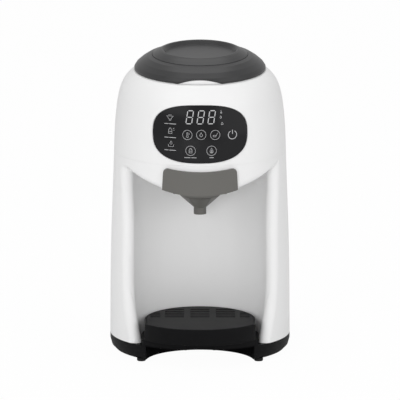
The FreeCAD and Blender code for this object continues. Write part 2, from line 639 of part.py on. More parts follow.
# Powder hopper hangs by its flange on the housing rim
hopperR = size("hopperRound")
hopperFoot = size("hopperFoot")
hopperZ = size("hopperLow")
skinH = size("hopperWall")
outletY = size("outletY")
outletR = size("outletRound")
bowlOut = turned([(0, hopperZ), (hopperFoot, hopperZ), (hopperR, hopperZ + 18),
                  (hopperR, rimZ + 30), (0, rimZ + 30)])
flange = tilted(rodAt(hopperR + 1.6, V(0, 0, flangeZ), V(0, 0, flangeTop)))
bowlIn = turned([(0, hopperZ + skinH), (hopperFoot - 0.9, hopperZ + skinH),
                 (hopperR - skinH, hopperZ + 18), (hopperR - skinH, rimZ + 40), (0, rimZ + 40)])
trim = tilted(boxAt(-200, 200, -200, 200, flangeTop, rimZ + 90))
shaftRound = size("shaftRound")
shaftBore = shaftRound + size("pinPlay")
hopper = bowlOut.cut(trim).fuse(flange).cut(bowlIn)
hopper = hopper.cut(rodAt(shaftBore, V(0, 0, hopperZ - 1), V(0, 0, hopperZ + 5)))
hopper = hopper.cut(rodAt(outletR, V(0, outletY, hopperZ - 1), V(0, outletY, hopperZ + 5)))
feature("powder_hopper", hopper.removeSplitter())

chuteOuter = rodOf("ChuteOuter", "Dims.outletRound + 2", "Dims.hopperLow - Dims.drawerTop - 2.7",
                   "0", "Dims.outletY", "Dims.drawerTop + 2.6")
chuteBore = rodOf("ChuteBore", "Dims.outletRound", "Dims.hopperLow", "0", "Dims.outletY",
                  "Dims.drawerTop - 5")
chute = cutOf("ChuteTube", chuteOuter, chuteBore)
register(chute, "powder_chute")


def gearFace(teeth, module, phase, bore):
    # straight sided teeth, thinner than half the pitch so that they run with play
    pitchR = teeth * module / 2
    tip = pitchR + 0.85 * module
    root = pitchR - 1.2 * module
    step = 2 * math.pi / teeth
    points = []
    for tooth in range(teeth):
        middle = phase + tooth * step
        for share, radius in ((-0.33, root), (-0.11, tip), (0.11, tip), (0.33, root)):
            angle = middle + share * step
            points.append(V(radius * math.cos(angle), radius * math.sin(angle), 0))
    outline = Part.Face(Part.makePolygon(points + points[:1]))
    return outline.cut(Part.Face(Part.Wire(Part.makeCircle(bore))))


module = size("gearModule")
teeth = int(size("gearTeeth"))
pinionTeeth = int(size("pinionTeeth"))
gearZ = size("gearLow")
gearThick = size("gearThick")
spread = (teeth + pinionTeeth) * module / 2
gear = gearFace(teeth, module, math.pi / 2, shaftRound + 0.04).extrude(V(0, 0, gearThick))
gear.translate(V(0, 0, gearZ))
feature("drive_gear", gear)
pinion = gearFace(pinionTeeth, module, -math.pi / 2 + math.pi / pinionTeeth, 0.5)
pinion = pinion.extrude(V(0, 0, gearThick))
pinion.translate(V(0, spread, gearZ))
plateLow = slotHigh + 2.6
spindle = rodAt(1.5, V(0, spread, plateLow - 4), V(0, spread, gearZ + gearThick + 1))
feature("motor_pinion", pinion.fuse(spindle).removeSplitter())
gearPlate = boxAt(-24, 24, -18, spread + 15, plateLow, gearZ - runGap)
gearPlate = gearPlate.cut(rodAt(shaftBore, V(0, 0, 0), V(0, 0, 300)))
gearPlate = gearPlate.cut(rodAt(2.6, V(0, spread, 0), V(0, spread, 300)))
feature("gear_plate", gearPlate)
motorR = size("motorRound")
motor = rodAt(motorR, V(0, spread, plateLow - 38), V(0, spread, plateLow - 0.05))
motorEars = boxAt(-motorR - 5, motorR + 5, spread - 4, spread + 4, plateLow - 2, plateLow - 0.05)
motor = motor.fuse(motorEars)
motor = motor.cut(rodAt(1.5 + size("pinPlay"), V(0, spread, plateLow - 4.2), V(0, spread, plateLow + 1)))
feature("dosing_motor", motor.removeSplitter())
wheelZ = hopperZ + skinH + runGap
wheelTop = wheelZ + 6.5
register(rodOf("WheelShaft", "Dims.shaftRound", "Dims.hopperLow + 22 - Dims.gearLow + 3.6",
               "0", "(Dims.trayFront - Dims.baseRear) / 2", "Dims.gearLow - 3.6"), "wheel_shaft")
wheel = rodAt(hopperFoot - 3.0, V(0, 0, wheelZ), V(0, 0, wheelTop))
wheel = wheel.cut(rodAt(shaftRound + 0.04, V(0, 0, 0), V(0, 0, 300)))
pockets = 8
for pocket in range(pockets):
    angle = 2 * math.pi * (pocket + 0.5) / pockets
    spot = V(outletY * math.cos(angle), outletY * math.sin(angle), 0)
    wheel = wheel.cut(rodAt(outletR - 1, spot, spot + V(0, 0, 300)))
feature("dosing_wheel", wheel)
hubTop = wheelTop + 8
armZ = wheelTop + 4
stirHub = rodAt(6, V(0, 0, wheelTop + 0.05), V(0, 0, hubTop))
armReach = hopperFoot - 6
stirrer = stirHub
for side in (-1, 1):
    stirrer = stirrer.fuse(rodAt(2, V(0, 0, armZ), V(side * armReach, 0, armZ)))
    stirrer = stirrer.fuse(rodAt(2, V(side * armReach, 0, armZ - 2), V(side * armReach, 0, armZ + 34)))
stirrer = stirrer.cut(rodAt(shaftRound + 0.04, V(0, 0, 0), V(0, 0, 300)))
feature("stirrer", stirrer.removeSplitter())


# Water tank: lifts off the shelf behind the housing, with a hinged lid and a poppet valve
tankFront = size("tankFront")
tankHalf = size("tankHalf")
tankRear = size("tankRear")
tankLow = size("tankLow")
tankHigh = size("tankHigh")
tankWall = size("tankWall")


def tankBlock(grow, z0, z1):
    # the tank outline in plan: wide at the front, rounded at the rear
    block = boxAt(-tankHalf - grow, tankHalf + grow, tankFront - grow, tankRear + grow, z0, z1)
    tall = [edge for edge in block.Edges if edge.BoundBox.ZLength > (z1 - z0) * 0.9]
    rearEdges = [edge for edge in tall if edge.BoundBox.YMin > tankRear + grow - 1]
    block = block.makeFillet(tankCorner + grow, rearEdges)
    frontEdges = [edge for edge in block.Edges if edge.BoundBox.ZLength > (z1 - z0) * 0.9
                  and edge.BoundBox.YMax < tankFront - grow + 1]
    return block.makeFillet(6 + grow, frontEdges)


tankPin = V(0, tankRear - 4.0, tankHigh + 3.5)
earIn = 25.3
earOut = 30.0
tank = tankBlock(0, tankLow, tankHigh).cut(tankBlock(-tankWall, tankLow + 3, tankHigh + 1))
for side in (-1, 1):
    ear = boxAt(min(side * earIn, side * earOut), max(side * earIn, side * earOut),
                tankPin.y - 3, tankPin.y + 3, tankHigh - 10, tankPin.z)
    dome = rodAt(3, V(side * earIn, tankPin.y, tankPin.z), V(side * earOut, tankPin.y, tankPin.z))
    tank = tank.fuse([ear, dome])
tank = tank.cut(rodAt(pinRound + 0.02, V(-40, tankPin.y, tankPin.z), V(40, tankPin.y, tankPin.z)))
spigot = rodAt(6.5, V(valveX, valveY, tankLow - 6), V(valveX, valveY, tankLow + 1))
tank = tank.fuse(spigot).cut(rodAt(4, V(valveX, valveY, tankLow - 8), V(valveX, valveY, tankLow + 8)))
feature("water_tank", tank.removeSplitter())
lidZ = tankHigh + runGap
lidPlate = tankBlock(-0.4, lidZ, lidZ + 3.5)
lidPlate = lidPlate.cut(boxAt(-200, 200, tankPin.y - 3.6, 400, 0, 400))
skirt = tankBlock(-tankWall - 0.5, lidZ - 3, lidZ + 0.5)
skirt = skirt.cut(tankBlock(-tankWall - 2.2, lidZ - 4, lidZ + 1))
skirt = skirt.cut(boxAt(-200, 200, tankPin.y - 12, 400, 0, 400))
knuckle = rodAt(2.8, V(-25, tankPin.y, tankPin.z), V(25, tankPin.y, tankPin.z))
strap = boxAt(-25, 25, tankPin.y - 5, tankPin.y, tankPin.z - 2.6, lidZ + 3.5)
tankLid = lidPlate.fuse([skirt, knuckle, strap])
tankLid = tankLid.cut(rodAt(pinBore, V(-40, tankPin.y, tankPin.z), V(40, tankPin.y, tankPin.z)))
feature("tank_lid", tankLid.removeSplitter())
feature("tank_lid_pin", rodAt(pinRound, V(-earOut, tankPin.y, tankPin.z),
                              V(earOut, tankPin.y, tankPin.z)))
valveLift = 1.5
poppetZ = tankLow + 3 + valveLift
poppet = turned([(0, tankLow - 6), (1.4, tankLow - 6), (1.4, poppetZ), (5.6, poppetZ),
                 (5.6, poppetZ + 2), (0, poppetZ + 2)], valveX, valveY)
feature("valve_poppet", poppet)
socket = turned([(0, low - 8), (8.9, low - 8), (8.9, tankLow - 0.5), (8.6, tankLow - 0.5),
                 (8.6, low - 5.5), (1.4, low - 5.5), (1.4, tankLow - 6.05), (0, tankLow - 6.05)],
                valveX, valveY)
elbow = rodAt(3.4, V(valveX, valveY - 7, low - 6.5), V(valveX, valveY - 14, low - 6.5))
bore = rodAt(1.6, V(valveX, valveY - 5, low - 4.6), V(valveX, valveY - 16, low - 6.5))
feature("tank_socket", socket.fuse(elbow).cut(bore).removeSplitter())
feature("tank_seal", turned([(6.6, low + 2), (8.55, low + 2), (8.55, low + 4), (6.6, low + 4)],
                            valveX, valveY))

# Water path and electronics inside
floorZ = low + 0.05
tubeR = 2.5


def tubeAlong(points, radius, inner):
    # a pipe of straight runs and round elbows
    spots = [V(*point) for point in points]
    shape = None
    for start, end in zip(spots, spots[1:]):
        run = rodAt(radius, start, end)
        shape = run if shape is None else shape.fuse(run)
    for corner in spots[1:-1]:
        shape = shape.fuse(Part.makeSphere(radius, corner))
    hollowShape = None
    for start, end in zip(spots, spots[1:]):
        run = rodAt(inner, start, end)
        hollowShape = run if hollowShape is None else hollowShape.fuse(run)
    for corner in spots[1:-1]:
        hollowShape = hollowShape.fuse(Part.makeSphere(inner, corner))
    return shape.cut(hollowShape).removeSplitter()


riserY = rear - 22
pumpX = -34.0
pumpY = 58.0
pumpTop = floorZ + 42
tubeZ = low - 6.5
feature("suction_tube", tubeAlong([(valveX, valveY - 14.05, tubeZ), (0, riserY, tubeZ),
                                   (0, riserY, floorZ + 8), (pumpX + 15.05, riserY, floorZ + 8)],
                                  tubeR, 1.5))
pump = rodAt(15, V(pumpX, pumpY, floorZ), V(pumpX, pumpY, floorZ + 26))
pump = pump.fuse([rodAt(10, V(pumpX, pumpY, floorZ + 26), V(pumpX, pumpY, pumpTop)),
                  boxAt(pumpX, pumpX + 15, riserY - 4, riserY + 4, floorZ + 3, floorZ + 13)])
feature("water_pump", pump.removeSplitter())
heaterX = 36.0
heaterY = 56.0
heaterLow = 60.0
heaterTop = 150.0
feature("pressure_tube", tubeAlong([(pumpX, pumpY, pumpTop + 0.05), (pumpX, pumpY, heaterLow + 12),
                                    (heaterX - 16.05, pumpY, heaterLow + 12)], tubeR, 1.5))
heater = rodAt(16, V(heaterX, heaterY, heaterLow), V(heaterX, heaterY, heaterTop))
heater = heater.cut(rodAt(4, V(heaterX, heaterY, heaterLow + 6), V(heaterX, heaterY, heaterTop - 6)))
feature("water_heater", heater)
cradle = boxAt(heaterX - 19, heaterX + 19, heaterY + 8, rear - wall - 0.05, heaterLow - 3, heaterLow - 0.05)
cradle = cradle.fuse(boxAt(heaterX - 19, heaterX + 19, rear - wall - 3, rear - wall - 0.05,
                           heaterLow - 3, heaterTop - 20))
feature("heater_bracket", cradle.removeSplitter())
feature("thermostat", boxAt(heaterX - 6, heaterX + 6, heaterY + 16.05, heaterY + 20, heaterTop - 40,
                            heaterTop - 28))
jetBack = size("drawerRear") + 3.3
feature("hot_water_tube", tubeAlong([(heaterX, heaterY, heaterTop + 0.05), (heaterX, heaterY, jetZ),
                                     (heaterX, jetBack + 5, jetZ), (jetX + 6.05, jetBack + 5, jetZ)],
                                    tubeR, 1.5))
nozzle = boxAt(jetX - 5, jetX + 6, jetBack, jetBack + 9, jetZ - 5, jetZ + 4)
nozzle = nozzle.fuse(rodAt(2.2, V(jetX, spoutY + 8, jetZ), V(jetX, jetBack + 1, jetZ)))
nozzle = nozzle.cut(rodAt(1.3, V(jetX, spoutY + 7, jetZ), V(jetX, jetBack + 5, jetZ)))
nozzle = nozzle.cut(rodAt(1.3, V(jetX, jetBack + 5, jetZ), V(jetX + 8, jetBack + 5, jetZ)))
feature("water_nozzle", nozzle.removeSplitter())


def board(label, long, high, x, y, z, thick=1.6):
    # an upright circuit board drawn as a sketch and padded along its thickness
    body = doc.addObject("PartDesign::Body", label)
    sketch = sketchOn(body, label + "Sketch", "XZ_Plane")
    corners = [V(-long / 2, 0, 0), V(long / 2, 0, 0), V(long / 2, high, 0), V(-long / 2, high, 0)]
    for start, end in zip(corners, corners[1:] + corners[:1]):
        sketch.addGeometry(Part.LineSegment(start, end))
    pad = body.newObject("PartDesign::Pad", label + "Pad")
    pad.Profile = sketch
    pad.Length = thick
    body.Placement = FreeCAD.Placement(V(x, y + thick, z), FreeCAD.Rotation())
    return register(body, label)


board("display_board", 50, 32, 0, boardFace, size("panelLow") + 12)
board("main_board", 70, 52, -16, rear - wall - 6.0, 120)
board("power_board", 46, 40, -46, rear - wall - 6.0, 74)
standoffs = []
for spotX, spotZ in ((-45, 126), (13, 126), (-45, 166), (13, 166), (-64, 80), (-28, 80),
                     (-64, 108), (-28, 108)):
    standoffs.append(rodAt(2.5, V(spotX, rear - wall - 4.35, spotZ), V(spotX, rear - wall - 0.05, spotZ)))
feature("board_standoffs", Part.makeCompound(standoffs))
displayFront = boardFace - 0.05
feature("digit_display", boxAt(-16, 18, displayFront - 6, displayFront, size("panelTop") - 26,
                               size("panelTop") - 12))
feature("buzzer", rodAt(6, V(-14, boardFace + 1.7, size("panelLow") + 22),
                        V(-14, boardFace + 7.4, size("panelLow") + 22)))

# Mains inlet in the side of the rear housing
inletY = 62.0
inletZ = 34.0
skinX = size("halfLow") - 0.9
inletHole = boxAt(skinX - 24, skinX + 20, inletY - 12, inletY + 12, inletZ - 8, inletZ + 8)
inlet = boxAt(skinX - 20, skinX, inletY - 11.8, inletY + 11.8, inletZ - 7.8, inletZ + 7.8)
flangeBox = boxAt(skinX - 5.5, skinX - 2.8, inletY - 15, inletY + 15, inletZ - 10.5, inletZ + 10.5)
plugSpace = boxAt(skinX - 14, skinX + 5, inletY - 9, inletY + 9, inletZ - 5, inletZ + 5)
inlet = inlet.fuse(flangeBox).cut(plugSpace)
for side in (-1, 1):
    pinAt = inletY + side * 4.3
    inlet = inlet.fuse(rodAt(1.2, V(skinX - 15, pinAt, inletZ), V(skinX - 3.5, pinAt, inletZ)))
feature("mains_inlet", inlet.removeSplitter())

feature("bay_wall", lowerShell.common(linerZone))
feature("side_left", sideShells.common(boxAt(-200, 0, -200, 200, 0, 400)))
feature("side_right", sideShells.common(boxAt(0, 200, -200, 200, 0, 400)))
feature("bay_ceiling", frontShell.common(boxAt(-200, 200, -200, 200, ceilingLow, headLow)))
feature("front_head", frontShell.common(boxAt(-200, 200, -200, 200, headLow, 500)))
feature("rear_housing", rearShell.cut(inletHole).removeSplitter())

# Everything moves back together, so that the origin is the middle of the footprint
backShift = (baseRear - size("trayFront")) / 2
for obj in parts:
    if not obj.ExpressionEngine:
        obj.Placement = FreeCAD.Placement(V(0, -backShift, 0), FreeCAD.Rotation()) * obj.Placement
doc.recompute()
for obj in doc.Objects:
    if "Invalid" in obj.State or "Error" in obj.State:
        raise RuntimeError("failed: " + obj.Label)
for obj in parts:
    if obj.Shape.isNull() or not obj.Shape.isValid() or not obj.Shape.Solids:
        raise RuntimeError("bad shape: " + obj.Label)
for obj in parts:
    obj.Shape.exportStep("parts/%s.step" % obj.Label)
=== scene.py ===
import json
import math
import bmesh
import bpy
import numpy as np
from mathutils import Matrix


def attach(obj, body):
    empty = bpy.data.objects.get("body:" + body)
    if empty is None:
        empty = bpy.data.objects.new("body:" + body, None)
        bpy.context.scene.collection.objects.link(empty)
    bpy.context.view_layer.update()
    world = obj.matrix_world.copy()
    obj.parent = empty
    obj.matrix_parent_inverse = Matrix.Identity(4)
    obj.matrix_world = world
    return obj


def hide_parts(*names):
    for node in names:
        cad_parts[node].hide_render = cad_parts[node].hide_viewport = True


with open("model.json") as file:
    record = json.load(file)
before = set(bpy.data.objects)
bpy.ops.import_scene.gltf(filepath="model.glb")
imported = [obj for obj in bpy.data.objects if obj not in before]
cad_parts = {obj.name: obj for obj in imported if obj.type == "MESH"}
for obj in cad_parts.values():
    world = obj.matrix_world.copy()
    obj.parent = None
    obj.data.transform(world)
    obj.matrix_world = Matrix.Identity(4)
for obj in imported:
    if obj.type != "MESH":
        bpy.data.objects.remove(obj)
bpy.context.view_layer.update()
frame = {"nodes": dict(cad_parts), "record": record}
print("frame loaded,", len(frame["nodes"]), "nodes")

mm = 0.001
axisY = -0.032          # upright axis of hopper and lid, in the frame
viewScene = bpy.context.scene
viewScene.view_settings.view_transform = "Standard"
slotOf = {entry["node"]: entry["material_slot"] for entry in frame["record"]["subparts"]}
bodyOf = {node: body for body, nodes in frame["record"]["behaviour"]["bodies"].items()
          for node in nodes}


def placed(name, data):
    thing = bpy.data.objects.new(name, data)
    viewScene.collection.objects.link(thing)
    return thing


# Camera and light

cameraSet = {"elevation": 12.0, "distance": 12.12, "lens": 1160.0, "sensor": 36.0, "reach": 60.0,
             "target": (0.0, axisY, 0.1428)}


def makeCamera():
    data = bpy.data.cameras.new("camera")
    data.lens = cameraSet["lens"]
    data.sensor_width = cameraSet["sensor"]
    data.clip_end = cameraSet["reach"]
    camera = placed("camera", data)
    lift = math.radians(cameraSet["elevation"])
    far = cameraSet["distance"]
    x, y, z = cameraSet["target"]
    camera.location = (x, y - far * math.cos(lift), z + far * math.sin(lift))
    camera.rotation_euler = (math.pi / 2 - lift, 0, 0)
    viewScene.camera = camera


lightSet = {
    "key": {"place": (-1.1, -1.5, 1.5), "size": 1.6, "power": 6.0, "mirrored": True},
    "front": {"place": (-0.5, -2.4, 0.35), "size": 1.0, "power": 16.0, "mirrored": False},
    "fill": {"place": (1.4, -1.2, 0.9), "size": 1.8, "power": 6.0, "mirrored": True},
    "top": {"place": (0.0, 0.3, 1.9), "size": 1.4, "power": 8.0, "mirrored": True},
}


def makeLights():
    for name, spec in lightSet.items():
        data = bpy.data.lights.new(name, "AREA")
        data.energy = spec["power"]
        data.size = spec["size"]
        lamp = placed(name, data)
        lamp.location = spec["place"]
        lamp.visible_glossy = spec["mirrored"]
        # turned to the target: tilt from the height over the distance, turn from y over x
        away = np.array(spec["place"]) - np.array(cameraSet["target"])
        lamp.rotation_euler = (math.acos(away[2] / np.linalg.norm(away)), 0,
                               math.atan2(away[1], away[0]) + math.pi / 2)


worldSet = {"light": 0.60, "seen": 1.0}


def makeWorld():
    world = bpy.data.worlds.new("studio")
    viewScene.world = world
    world.use_nodes = True
    tree = world.node_tree
    back = tree.nodes["Background"]
    back.inputs["Color"].default_value = (1, 1, 1, 1)
    path = tree.nodes.new("ShaderNodeLightPath")
    level = tree.nodes.new("ShaderNodeMapRange")
    level.inputs["To Min"].default_value = worldSet["light"]
    level.inputs["To Max"].default_value = worldSet["seen"]
    tree.links.new(path.outputs["Is Camera Ray"], level.inputs["Value"])
    tree.links.new(level.outputs["Result"], back.inputs["Strength"])


# Shared effects, as node groups that put out values only

def newGroup(name, inputs, outputs):
    group = bpy.data.node_groups.new(name, "ShaderNodeTree")
    for label, kind, value in inputs:
        socket = group.interface.new_socket(label, in_out="INPUT", socket_type=kind)
        socket.default_value = value
    for label, kind in outputs:
        group.interface.new_socket(label, in_out="OUTPUT", socket_type=kind)
    return group, group.nodes.new("NodeGroupInput"), group.nodes.new("NodeGroupOutput")


grainSet = {"grainScale": 900.0, "waveScale": 30.0, "grain": 0.6, "wave": 0.4,
            "grainDetail": 4.0, "waveDetail": 2.0}


def mouldGrain():
    # fine spark-eroded grain over slow waves of the moulded wall, as a height and a tone
    group, into, out = newGroup("mouldGrain", [
        ("Grain Scale", "NodeSocketFloat", grainSet["grainScale"]),
        ("Wave Scale", "NodeSocketFloat", grainSet["waveScale"]),
        ("Grain", "NodeSocketFloat", grainSet["grain"]),
        ("Wave", "NodeSocketFloat", grainSet["wave"])],
        [("Height", "NodeSocketFloat"), ("Tone", "NodeSocketFloat")])
    place = group.nodes.new("ShaderNodeTexCoord")
    grain = group.nodes.new("ShaderNodeTexNoise")
    grain.inputs["Detail"].default_value = grainSet["grainDetail"]
    wave = group.nodes.new("ShaderNodeTexNoise")
    wave.inputs["Detail"].default_value = grainSet["waveDetail"]
    group.links.new(place.outputs["Object"], grain.inputs["Vector"])
    group.links.new(place.outputs["Object"], wave.inputs["Vector"])
    group.links.new(into.outputs["Grain Scale"], grain.inputs["Scale"])
    group.links.new(into.outputs["Wave Scale"], wave.inputs["Scale"])
    shares = []
    for source, amount in ((grain, "Grain"), (wave, "Wave")):
        product = group.nodes.new("ShaderNodeMath")
        product.operation = "MULTIPLY"
        group.links.new(source.outputs["Fac"], product.inputs[0])
        group.links.new(into.outputs[amount], product.inputs[1])
        shares.append(product)
    total = group.nodes.new("ShaderNodeMath")
    total.operation = "ADD"
    group.links.new(shares[0].outputs[0], total.inputs[0])
    group.links.new(shares[1].outputs[0], total.inputs[1])
    group.links.new(total.outputs[0], out.inputs["Height"])
    group.links.new(wave.outputs["Fac"], out.inputs["Tone"])
    return group


grainGroup = mouldGrain()
plasticSet = {"edgeSamples": 6, "edgeRadius": 0.0005, "bumpHeight": 0.0004}


def plastic(name, colour, rough, bump=0.05, grain=900.0, tone=0.03, coat=0.0, spread=0.06, **more):
    # a moulded finish: colour and roughness drift a little, the grain lifts the surface, and the
    # light rounds off sharp edges
    material = bpy.data.materials.new(name)
    material.use_nodes = True
    tree = material.node_tree
    shader = tree.nodes["Principled BSDF"]
    shader.inputs["Coat Weight"].default_value = coat
    for socket, value in more.items():
        shader.inputs[socket.replace("_", " ")].default_value = value
    effect = tree.nodes.new("ShaderNodeGroup")
    effect.node_tree = grainGroup
    effect.inputs["Grain Scale"].default_value = grain
    shade = tree.nodes.new("ShaderNodeMapRange")
    shade.inputs["To Min"].default_value = rough - spread / 2
    shade.inputs["To Max"].default_value = rough + spread / 2
    tree.links.new(effect.outputs["Tone"], shade.inputs["Value"])
    tree.links.new(shade.outputs["Result"], shader.inputs["Roughness"])
    mix = tree.nodes.new("ShaderNodeMix")
    mix.data_type = "RGBA"
    mix.inputs["A"].default_value = tuple(c * (1 - tone) for c in colour) + (1,)
    mix.inputs["B"].default_value = tuple(min(1, c * (1 + tone)) for c in colour) + (1,)
    tree.links.new(effect.outputs["Tone"], mix.inputs["Factor"])
    tree.links.new(mix.outputs["Result"], shader.inputs["Base Color"])
    soft = tree.nodes.new("ShaderNodeBevel")
    soft.samples = plasticSet["edgeSamples"]
    soft.inputs["Radius"].default_value = plasticSet["edgeRadius"]
    lift = tree.nodes.new("ShaderNodeBump")
    lift.inputs["Strength"].default_value = bump
    lift.inputs["Distance"].default_value = plasticSet["bumpHeight"]
    tree.links.new(soft.outputs["Normal"], lift.inputs["Normal"])
    tree.links.new(effect.outputs["Height"], lift.inputs["Height"])
    tree.links.new(lift.outputs["Normal"], shader.inputs["Normal"])
    return material


materials = {
    "white_shell": plastic("whiteShell", (0.84, 0.84, 0.84), 0.34, bump=0.02, tone=0.006),
    "black_base": plastic("blackBase", (0.004, 0.004, 0.0045), 0.50, bump=0.05, tone=0.10,
                          Specular_IOR_Level=0.10),
    "black_glass": plastic("blackGlass", (0.008, 0.008, 0.009), 0.16, bump=0.0, tone=0.05,
                           Specular_IOR_Level=0.25),
    "lid_grey": plastic("lidGrey", (0.032, 0.032, 0.033), 0.34, bump=0.08, tone=0.08,
                        Specular_IOR_Level=0.42),
    "funnel_grey": plastic("funnelGrey", (0.12, 0.117, 0.108), 0.42, bump=0.06, tone=0.05),
    "smoke_clear": plastic("smokeClear", (0.55, 0.57, 0.60), 0.08, bump=0.01, Transmission_Weight=0.9,
                           IOR=1.49),
    "inner_plastic": plastic("innerPlastic", (0.62, 0.62, 0.60), 0.5, bump=0.05),
    "rubber_grey": plastic("rubberGrey", (0.015, 0.015, 0.015), 0.75, bump=0.15, grain=400.0,
                           Specular_IOR_Level=0.3),
    "silicone": plastic("silicone", (0.62, 0.62, 0.60), 0.45, bump=0.05),
    "steel": plastic("steel", (0.55, 0.55, 0.56), 0.28, bump=0.05, grain=300.0, Metallic=1.0),
    "aluminium": plastic("aluminium", (0.62, 0.62, 0.63), 0.40, bump=0.15, grain=500.0, Metallic=1.0),
    "board_green": plastic("boardGreen", (0.015, 0.12, 0.05), 0.35, bump=0.2, grain=250.0, tone=0.3),
    "white_gear": plastic("whiteGear", (0.72, 0.72, 0.68), 0.45, bump=0.04),
    "dark_part": plastic("darkPart", (0.03, 0.03, 0.032), 0.45, bump=0.08),
}
# grey print for the marks, with a painted glow: a faint emission that brightens them without any lamp
printGreyPaintedGlow = plastic("printGreyPaintedGlow", (0.50, 0.50, 0.51), 0.5, bump=0.0, tone=0.05, grain=600.0,
                    Emission_Color=(0.75, 0.76, 0.78, 1.0), Emission_Strength=0.12)


def dressNodes():
    # each node keeps its shape and takes the finish of its slot
    for name, node in frame["nodes"].items():
        node.data.materials.clear()
        node.data.materials.append(materials[slotOf[name]])
    print("nodes dressed")


# Pieces whose edges are softened: a copy of the solid, merged, with a narrow bevel on its edges.
# Widths in mm, angles in degrees.

softSet = {
    "funnel_cover": 0.5, "tray_grille": 0.25, "drip_tray": 0.5, "tank_lid": 0.5, "feet": 0.3,
    "lid_hinge_bracket": 0.4, "mains_inlet": 0.3, "base_tub": 0.4,
}
edgeSet = {"merge": 1e-6, "flat": 0.6, "sharp": 28, "bevelled": 32, "segments": 2}


def softened(name, width):
    node = frame["nodes"][name]
    work = bmesh.new()
    work.from_mesh(node.data)
    bmesh.ops.remove_doubles(work, verts=work.verts, dist=edgeSet["merge"])
    bmesh.ops.dissolve_limit(work, angle_limit=math.radians(edgeSet["flat"]), verts=work.verts,
                             edges=work.edges)
    mesh = bpy.data.meshes.new(name + "Soft")
    work.to_mesh(mesh)
    work.free()
    mesh.transform(node.matrix_world)
    mesh.shade_smooth()
    mesh.set_sharp_from_angle(angle=math.radians(edgeSet["sharp"]))
    mesh.materials.clear()
    mesh.materials.append(node.data.materials[0])
    piece = placed(name + "Soft", mesh)
    edge = piece.modifiers.new("edge", "BEVEL")
    edge.width = width * mm
    edge.segments = edgeSet["segments"]
    edge.limit_method = "ANGLE"
    edge.angle_limit = math.radians(edgeSet["bevelled"])
    edge.harden_normals = True
    return piece


def makeSoft():
    for name, width in softSet.items():
        piece = softened(name, width)
        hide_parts(name)
        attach(piece, bodyOf[name])
    print("edges softened")


# Printed and raised marks: flat strokes that follow a curved surface

def stroke(points, width, closed=False):
    # a stroke as two rails in the flat: each point pushed sideways by half the width along the
    # normal of its neighbours, the width kept at corners by dividing by the cosine of half the turn
    path = np.array(points, dtype=float)
    if closed:
        ahead = np.roll(path, -1, axis=0) - path
        behind = path - np.roll(path, 1, axis=0)
    else:
        ahead = np.vstack([path[1:] - path[:-1], path[-1:] - path[-2:-1]])
        behind = np.vstack([path[1:2] - path[:1], path[1:] - path[:-1]])
    ahead = ahead / np.linalg.norm(ahead, axis=1)[:, None]
    behind = behind / np.linalg.norm(behind, axis=1)[:, None]
    middle = ahead + behind
    middle = middle / np.linalg.norm(middle, axis=1)[:, None]
    stretch = 1 / np.maximum(0.5, np.sum(middle * ahead, axis=1))
    side = np.stack([-middle[:, 1], middle[:, 0]], axis=1) * (width / 2 * stretch)[:, None]
    return path + side, path - side, closed


def ribbonMesh(name, strokes, lay, rise, sink):
    # every stroke becomes a closed band: upper rails, lower rails and, if open, two end faces
    points, faces, start = [], [], 0
    for left, right, closed in strokes:
        count = len(left)
        points += [lay(left, rise), lay(right, rise), lay(left, -sink), lay(right, -sink)]
        here = np.arange(count if closed else count - 1)
        there = (here + 1) % count
        for a, b in ((0, 1), (1, 3), (3, 2), (2, 0)):
            faces.append(np.stack([start + a * count + here, start + b * count + here,
                                   start + b * count + there, start + a * count + there], axis=1))
        if not closed:
            ends = np.array([[0, 2, 3, 1]]) * count + start
            faces += [ends, ends[:, ::-1] + count - 1]
        start += 4 * count
    mesh = bpy.data.meshes.new(name)
    mesh.from_pydata(np.vstack(points).tolist(), [], np.vstack(faces).tolist())
    work = bmesh.new()
    work.from_mesh(mesh)
    bmesh.ops.recalc_face_normals(work, faces=work.faces)
    work.to_mesh(mesh)
    work.free()
    return placed(name, mesh)


def arc(x, z, radius, start=0.0, end=360.0, count=40):
    # the centre plus the radius times cosine and sine of the turn; a full circle drops its last point
    turn = np.radians(np.linspace(start, end, count, endpoint=end - start < 359.9))
    return np.stack([x + radius * np.cos(turn), z + radius * np.sin(turn)], axis=1)


def outerRadius(name):
    # radius of the outer face by height above a centre: a smooth curve through the points that
    # lie outside the mean curve of all points
    node = frame["nodes"][name]
    spots = np.empty(len(node.data.vertices) * 3)
    node.data.vertices.foreach_get("co", spots)
    world = np.array(node.matrix_world)
    spots = spots.reshape(-1, 3) @ world[:3, :3].T + world[:3, 3]
    reach = np.hypot(spots[:, 0], spots[:, 1] - axisY) / mm
    high = spots[:, 2] / mm
    outside = reach > np.polyval(np.polyfit(high, reach, 3), high)
    centre = high.mean()
    return np.polyfit(high[outside] - centre, reach[outside], 5), centre


printSet = {
    "line": 0.30, "fineLine": 0.28, "stemLine": 0.34, "barLine": 0.5, "powerLine": 0.55, "digitLine": 0.80,
    "rise": 0.09, "sink": 0.15,
    "digits": (-9.6, 0.7, 10.9), "digitLow": 232.2, "digitHigh": 244.1, "digitWide": 5.4,
    "digitGap": 0.62, "slant": 0.16,
    "rings": ((-11.8, 221.8), (1.1, 222.0), (14.2, 221.7)), "ringRound": 4.4,
    "lowRings": ((-8.8, 206.9), (10.8, 206.9)), "lowRingRound": 4.5,
    "power": (30.3, 221.0), "powerRound": 3.9, "units": ((19.7, 242.8), (19.3, 238.0), (20.7, 232.1)),
    "leftIcons": ((-28.0, 236.8), (-27.8, 225.3), (-27.1, 212.6)), "leftLabels": (231.4, 218.7, 206.7),
    "leftBars": ((-33.2, -29.4), (-28.6, -22.4)),
    "lowBars": ((-14.6, -8.9), (-8.1, -3.2), (8.8, 12.9)), "lowLabels": 200.3,
}


def shifted(points, x, z, scale=1.0):
    # every point times the scale, moved to x and z
    return np.array(points, dtype=float) * scale + np.array([x, z])


